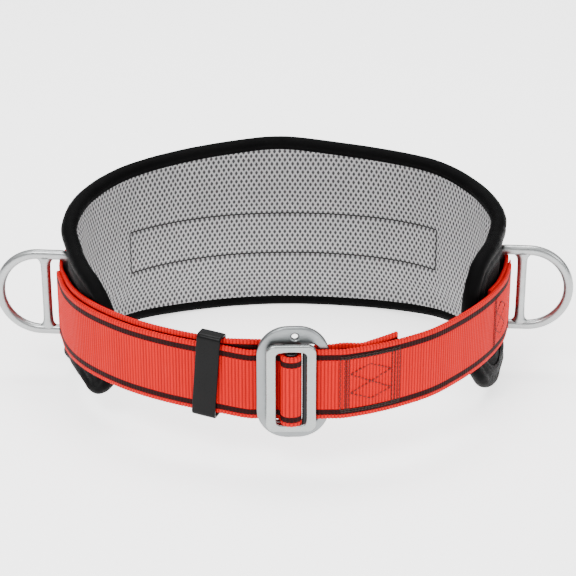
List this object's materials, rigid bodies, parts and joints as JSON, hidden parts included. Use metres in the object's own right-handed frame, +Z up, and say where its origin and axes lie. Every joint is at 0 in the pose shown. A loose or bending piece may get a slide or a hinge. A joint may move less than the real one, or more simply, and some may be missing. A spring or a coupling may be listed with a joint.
{
  "type": "tree climbing saddle",
  "caption": "Padded waist belt of red webbing with a two-piece friction buckle in front, a webbing keeper and a swinging steel side ring at each hip.",
  "frame": {"origin": "on the surface the belt stands on, below the middle of its bounding box", "axes": "+Z up, -Y the wearer's front where the buckle is, +X the side of the sewn strap"},
  "size_m": [0.3786, 0.2668, 0.1275],
  "materials": {
    "webbing": "woven polyester webbing, fine ribs across it, two black tracer lines",
    "pad_shell": "close black cloth, soft sheen",
    "pad_binding": "black cloth rolled over a soft edge",
    "pad_liner": "grey spacer mesh with small staggered holes",
    "pad_foam": "closed-cell foam",
    "pad_stiffener": "flexible plastic sheet",
    "plated_steel": "satin zinc plate, soft edges",
    "bar_steel": "darker plated bar, worn bright where it rubs",
    "ring_steel": "polished zinc plate over forged bar",
    "keeper": "glossy black moulding"
  },
  "bodies": {
    "belt": {"pad_shell": "pad_shell", "pad_stiffener": "pad_stiffener", "pad_foam": "pad_foam", "pad_liner": "pad_liner", "pad_binding": "pad_binding", "main_webbing": "webbing", "tail_webbing": "webbing", "right_strap": "webbing", "buckle_plate": "plated_steel"},
    "adjuster": {"adjuster_bar": "bar_steel", "bar_webbing": "webbing"},
    "hook_frame": {"buckle_frame": "plated_steel", "grip_rod": "bar_steel"},
    "keeper": {"keeper": "keeper"},
    "ring_left": {"side_ring_left": "ring_steel"},
    "ring_right": {"side_ring_right": "ring_steel"}
  },
  "joints": [
    {"name": "buckle_unhook", "type": "hinge", "parent": "belt", "child": "adjuster", "pos_m": [-0.01581, -0.12554, 0.05974], "axis": [0, 0, 1], "range_deg": [-35, 0]},
    {"name": "adjuster_slip", "type": "slide", "parent": "adjuster", "child": "hook_frame", "axis": [1, 0, 0], "range_m": [0, 0.0014]},
    {"name": "keeper_slide", "type": "hinge", "parent": "belt", "child": "keeper", "pos_m": [0.02799, 0.08176, 0.05974], "axis": [0, 0, 1], "range_deg": [-7.6, 1.3]},
    {"name": "ring_left_swing", "type": "hinge", "parent": "belt", "child": "ring_left", "pos_m": [-0.14038, 0.0153, 0.05974], "axis": [0, 0, 1], "range_deg": [-34, 46]},
    {"name": "ring_right_swing", "type": "hinge", "parent": "belt", "child": "ring_right", "pos_m": [0.14035, 0.0157, 0.05974], "axis": [0, 0, 1], "range_deg": [-35, 45]}
  ]
}
